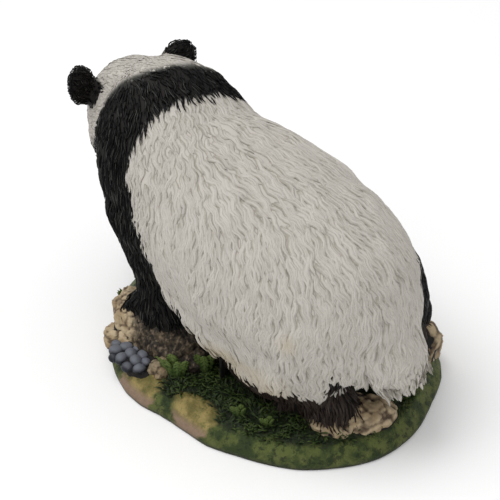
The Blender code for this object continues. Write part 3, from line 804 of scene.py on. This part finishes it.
def black_coat(name, chosen, wide, long, length, half_width, material, seed, rise=HAIR_RISE):
    """One share of the black coat: spaced roots, combed and swept into thin three-sided hairs."""
    random = np.random.default_rng(seed)
    roots = spaced(chosen, wide, long, seed)
    number = len(roots)
    length = length * random.uniform(0.75, 1.25, number)
    paths, lifts = comb(roots, length, 12 * MM, 0.3, rise, len(HAIR_TAPER), 0.4, seed)
    lifts = unit(lifts + random.normal(0, 0.25, (number, 1, 3)))
    wide = half_width * random.uniform(0.75, 1.25, (number, 1))
    points, faces = locks(paths, lifts, wide, wide * 0.95, HAIR_TAPER, HAIR_SECTION)
    rust = ramp(points[..., 2], 40 * MM, 24 * MM) * ramp(points[..., 1], 0, 40 * MM)
    piece(name, points, faces, material, [1, 0, 2], rust=rust, crest=[0, 1, 0],
          tone=random.uniform(0, 1, (number, 1, 1)))


satin_black = black_paint()
black = np.nonzero(fur_points & (blackness >= 0.5))[0]
on_face = from_head(form_points[black])
fine_hair = (on_face[1] > -8) & (on_face[2] > -8) & (np.linalg.norm(on_face, axis=0) < 48)
front = form_points[black, 1] < -8 * MM
black_coat("black_coat_front", black[~fine_hair & front], 1.6 * MM, 3.0 * MM, 6.0 * MM, 0.42 * MM, satin_black, 71)
black_coat("black_coat_hind", black[~fine_hair & ~front], 1.8 * MM, 3.4 * MM, 7.5 * MM, 0.48 * MM, satin_black, 72)
black_coat("black_coat_ears", black[fine_hair], 1.5 * MM, 1.7 * MM, 2.3 * MM, 0.42 * MM, satin_black, 73,
           HAIR_RISE * 0.25)

# --- Face: eyes, nose and mouth ---
# Modelled in the casting and painted by hand: glossy brown-black eyes set in the black
# patches, a satin black nose with two nostrils, and a thin dark line for the mouth.


def gloss_paint(name, dark, light, roughness):
    """Hand-painted gloss: a dark colour mottled with a lighter one."""
    paint = Paint(name, Specular_IOR_Level=0.12, Coat_Weight=0.06, Coat_Roughness=0.08)
    cloud = paint.speckle(1.5)
    return paint.finish(paint.mix(cloud, dark, light), roughness, cloud, 0.04)


def head_ball(side, forward, up, radii, turns=40, rings=24, dents=()):
    """An ellipsoid on the head; each dent pushes in by its depth times exp(-(gap/width) squared)."""
    ways, faces = globe(turns, rings)
    reach = np.ones(len(ways))
    for way, deep, wide in dents:
        reach -= deep * np.exp(-((ways - unit(np.array(way))) ** 2).sum(1) / wide**2)
    shape = ways * reach[:, None] * np.array(radii) * MM
    return shape @ HEAD_TURN.T + on_head(side, forward, up), faces


eye_points, eye_faces = together([head_ball(s * 11.0, 22.9, 3, (2.7, 2.7, 2.7)) for s in (1, -1)])
piece("eyes", eye_points, eye_faces, gloss_paint("eye_gloss", (0.004, 0.003, 0.002), (0.012, 0.007, 0.004), 0.1))
nostrils = [((s * 0.62, -0.85, -0.35), 0.3, 0.34) for s in (1, -1)]
piece("nose", *head_ball(0, 33.9, -4.4, (4.9, 3.0, 3.5), 48, 32, nostrils),
      gloss_paint("nose_satin", (0.003, 0.003, 0.003), (0.01, 0.0095, 0.009), 0.3))

MOUTH_SECTION = np.array([(1, 0), (0.5, 0.8), (-0.5, 0.8), (-1, 0), (0, -0.8)])
bend = np.linspace(-1, 1, 15)
smile = np.array([on_head(9 * t, 33 - 8 * t * t, -12.5 + 1.8 * t * t) for t in bend])
philtrum = np.array([on_head(0, 34.5 - t, -8 - 4.4 * t) for t in np.linspace(0, 1, 15)])
lines = np.stack([smile, philtrum])
foot, lines_lift = skin.under(lines)
mouth_points, mouth_faces = locks(foot + lines_lift * 0.35 * MM, lines_lift, 0.55 * MM, 0.4 * MM,
                                  np.clip(1.3 * np.sqrt(1 - np.abs(bend) ** 2) + 0.1, 0, 1), MOUTH_SECTION)
piece("mouth", mouth_points, mouth_faces,
      gloss_paint("mouth_line", (0.012, 0.009, 0.008), (0.03, 0.022, 0.018), 0.5))

# --- Claws ---
# Five on each paw, carved at the toe tips, curved down and painted pale horn
# with darker roots.

# Paw centre in millimetres and its turn in degrees
PAW_TURNS = ((35, -32, 28, 8), (-28, -57, 18, -8), (16, 51, 16, 12), (-38, 45, 19, -10))


def claw_paths():
    """For each of a paw's five toes, spread from -1 to 1: from its end 5 mm forward, curving down 3.6 mm."""
    paths = []
    for x, y, z, turn in PAW_TURNS:
        for spread in np.linspace(-1, 1, 5):
            t = np.linspace(0, 1, 6)
            forward = 15.25 - 3.3 * spread**2 + 5 * t
            claw = np.stack([9.75 * spread + 0 * t, -forward, -0.6 - 3.6 * t**2], -1)
            paths.append((claw @ spun(turn).T + [x, y, z]) * MM)
    return np.array(paths)


def horn_paint():
    """Pale horn, darker where it leaves the fur."""
    paint = Paint("claw_horn", Coat_Weight=0.3)
    pale = paint.mask(paint.painted("along") + paint.speckle(1) * 0.2, 0.1, 0.9)
    colour = paint.mix(pale, (0.045, 0.035, 0.025), (0.34, 0.29, 0.21))
    return paint.finish(colour, 0.4, paint.speckle(0.6), 0.05)


claws = claw_paths()
spin = np.arange(8) * np.pi / 4
claw_points, claw_faces = locks(claws, np.broadcast_to([0, 0, 1.0], claws.shape), 1.25 * MM, 1.35 * MM,
                                np.array([1, 0.98, 0.88, 0.7, 0.45, 0.08]), np.stack([np.cos(spin), np.sin(spin)], -1))
piece("claws", claw_points, claw_faces, horn_paint(), along=np.linspace(0, 1, 6)[:, None])

# --- Grass: carved turf and leaf tufts ---
# Carved in the ground as short blades that lie every way, painted dark green and dry-brushed lighter
# at the tips, with small tufts of broader light green leaves that stand up from it.


def grass_paint():
    """Turf: nearly black at the roots, mid green at the tips, patches lighter and yellower."""
    paint = Paint("painted_grass")
    cloud = paint.speckle(11)
    along = paint.painted("along")
    low = paint.mix(cloud, (0.004, 0.007, 0.002), (0.009, 0.016, 0.004))
    bright = paint.mask(cloud + paint.painted("tone") * 0.35, 0.45, 0.95)
    high = paint.mix(bright, (0.018, 0.034, 0.009), (0.07, 0.105, 0.022))
    return paint.finish(paint.mix(paint.mask(along, 0.1, 1.0), low, high), 0.55, paint.speckle(0.8), 0.08)


def blades(number, seed):
    """Roots scattered over the oval, none on bare earth; each blade heads where slow noise sends it and
    bends over: out by t and up by the sine of a quarter turn of t."""
    random = np.random.default_rng(seed)
    around, far = random.uniform(0, 2 * np.pi, number), np.sqrt(random.uniform(0, 1, number)) * (inner + 0.05)
    roots = np.concatenate([outline(around) * far[:, None], np.zeros((number, 1))], -1)
    grown = bare_earth(roots) < 0.4
    roots, far = roots[grown], far[grown]
    roots[:, 2] = ground_height(roots, far) - 0.4 * MM
    number = len(roots)
    heading = 2 * np.pi * grain(roots, 13, 81) + random.normal(0, 0.9, number)
    size = random.uniform(0.7, 1.25, number)
    t = np.linspace(0, 1, 4)
    out = (3.7 * MM * size)[:, None] * t
    rise = (1.9 * MM * size * random.uniform(0.5, 1.2, number))[:, None] * np.sin(t * np.pi / 2)
    turn = heading[:, None] + 0.5 * t * random.normal(0, 1, number)[:, None]
    paths = roots[:, None] + np.stack([out * np.cos(turn), out * np.sin(turn), rise], -1)
    return paths, size, random.uniform(0, 1, number)


BLADE_SECTION = np.array([(1, 0), (0, 0.8), (-1, 0)])
paths, size, tone = blades(7600, 82)
lifts = np.broadcast_to([0, 0, 1.0], paths.shape)
blade_points, blade_faces = locks(paths, lifts, (0.45 * MM * size)[:, None], (0.42 * MM * size)[:, None],
                                  np.array([0.8, 1.0, 0.8, 0.08]), BLADE_SECTION)
piece("grass", blade_points, blade_faces, grass_paint(), [1, 0, 2], along=np.linspace(0, 1, 4)[:, None],
      tone=tone[:, None, None])


def leaf_paths():
    """Leaves that fan out like a hand in each tuft and bend over the way it leans: up by the sine of a quarter
    turn of t, sideways by t and over by t squared. Returns paths, facings and heights."""
    t = np.linspace(0, 1, 13)[:, None]
    paths, facings, heights = [], [], []
    for across, along, leaves, tall, lean in LEAF_TUFTS:
        over = np.array([math.cos(math.radians(lean)), math.sin(math.radians(lean)), 0])
        side = np.array([-over[1], over[0], 0])
        root = on_base(across, along, BASE_HEIGHT - 1 * MM)
        for k in range(leaves):
            spread = k - (leaves - 1) / 2
            size = tall * (1 - 0.1 * abs(spread) - 0.12 * (k % 2)) * MM
            start = root + side * spread * 0.1 * size + over * 0.06 * size * (k % 2)
            bent = side * spread * 0.19 * size * t + over * 0.26 * size * t**2
            paths.append(start + bent + [0, 0, size] * np.sin(t * np.pi / 2))
            facings.append(unit(over + side * spread * 0.35 + [0, 0, 0.7]))
            heights.append(size)
    return np.array(paths), np.array(facings)[:, None] * np.ones((1, 13, 1)), np.array(heights)


def leaf_paint():
    """Leaf: light green with a paler midrib and darker veins scribed outwards."""
    paint = Paint("painted_leaf")
    cloud, along, across = paint.speckle(3), paint.painted("along"), paint.painted("across")
    colour = paint.mix(paint.mask(along + cloud * 0.6, 0.2, 1.2), (0.028, 0.052, 0.012), (0.14, 0.2, 0.05))
    rib = paint.mask(across, 0.35, 0.0)
    veins = paint.node("ShaderNodeMath", {"operation": "SINE"}, {0: along * 44 + across * 6})
    colour = paint.mix(paint.mask(veins, 0.3, 1.0) * 0.65, colour, (0.022, 0.042, 0.01))
    colour = paint.mix(rib * 0.5, colour, (0.15, 0.195, 0.065))
    return paint.finish(colour, 0.5, veins * 0.5 + rib, 0.2)


LEAF_SECTION = np.array([(1, 0), (0.5, 0.55), (0, 0.35), (-0.5, 0.55), (-1, 0), (-0.4, -0.5), (0.4, -0.5)])
paths, lifts, heights = leaf_paths()
grown = np.linspace(0, 1, 13)
toothed = (np.sin(np.pi * (0.22 + 0.78 * grown)) ** 1.3 + 0.03) * (1 - 0.2 * (np.arange(13) % 2))
leaf_points, leaf_faces = locks(paths, lifts, (0.2 * heights)[:, None], 0.9 * MM, toothed, LEAF_SECTION)
piece("leaf_tufts", leaf_points, leaf_faces, leaf_paint(), along=grown[:, None], across=[1, 0.5, 0, 0.5, 1, 0.6, 0.6])

# --- Studio: camera, light and floor ---
# The figurine stands on a plain pale floor under soft light from above the head's left side,
# seen from behind its left haunch and above, through a long lens.

AZIMUTH, ELEVATION, DISTANCE = math.radians(136.95), math.radians(36.77), 0.5889
LOOK_RIGHT, LOOK_UP = -0.009846, 0.01768
SENSOR, FOCAL_PIXELS, PHOTO_PIXELS = 36, 1289.9, 500
target = np.array([0, -3.1, 45]) * MM
level = np.array([math.sin(AZIMUTH), -math.cos(AZIMUTH), 0]) * math.cos(ELEVATION)
back = level + [0, 0, math.sin(ELEVATION)]
right = np.array([math.cos(AZIMUTH), math.sin(AZIMUTH), 0])
above = np.cross(back, right)
look = Vector(-back + LOOK_RIGHT * right + LOOK_UP * above)
lens = bpy.data.cameras.new("camera")
lens.sensor_width, lens.lens = SENSOR, FOCAL_PIXELS / PHOTO_PIXELS * SENSOR
camera = placed("camera", lens)
camera.location = target + back * DISTANCE
camera.rotation_euler = look.to_track_quat("-Z", "Y").to_euler()
bpy.context.scene.camera = camera

floor_paint = Paint("studio_paper")
floor_tone = floor_paint.mix(floor_paint.speckle(400), (0.94, 0.94, 0.94), (0.95, 0.95, 0.95))
floor_paint.finish(floor_tone, 0.9)
floor_mesh = bpy.data.meshes.new("floor")
floor_mesh.from_pydata([(-4, -4, 0), (4, -4, 0), (4, 4, 0), (-4, 4, 0)], [], [(0, 1, 2, 3)])
floor_mesh.materials.append(floor_paint.material)
placed("floor", floor_mesh)


def softbox(name, place, size, power):
    """A square area light at place, turned to the figurine."""
    light = bpy.data.lights.new(name, "AREA")
    light.shape, light.size, light.energy = "SQUARE", size, power
    made = placed(name, light)
    made.location = place
    made.rotation_euler = (Vector((0, 0, 0.05)) - Vector(place)).to_track_quat("-Z", "Y").to_euler()


softbox("key", (0.55, -0.45, 1.6), 1.1, 15)
softbox("fill", (0.9, 1.3, 1.5), 1.4, 3)
world = bpy.data.worlds.new("studio")
world.use_nodes = True
background = world.node_tree.nodes["Background"].inputs
background["Color"].default_value = (1, 1, 1, 1)
background["Strength"].default_value = 0.7
bpy.context.scene.world = world
bpy.context.scene.view_settings.view_transform = "Standard"
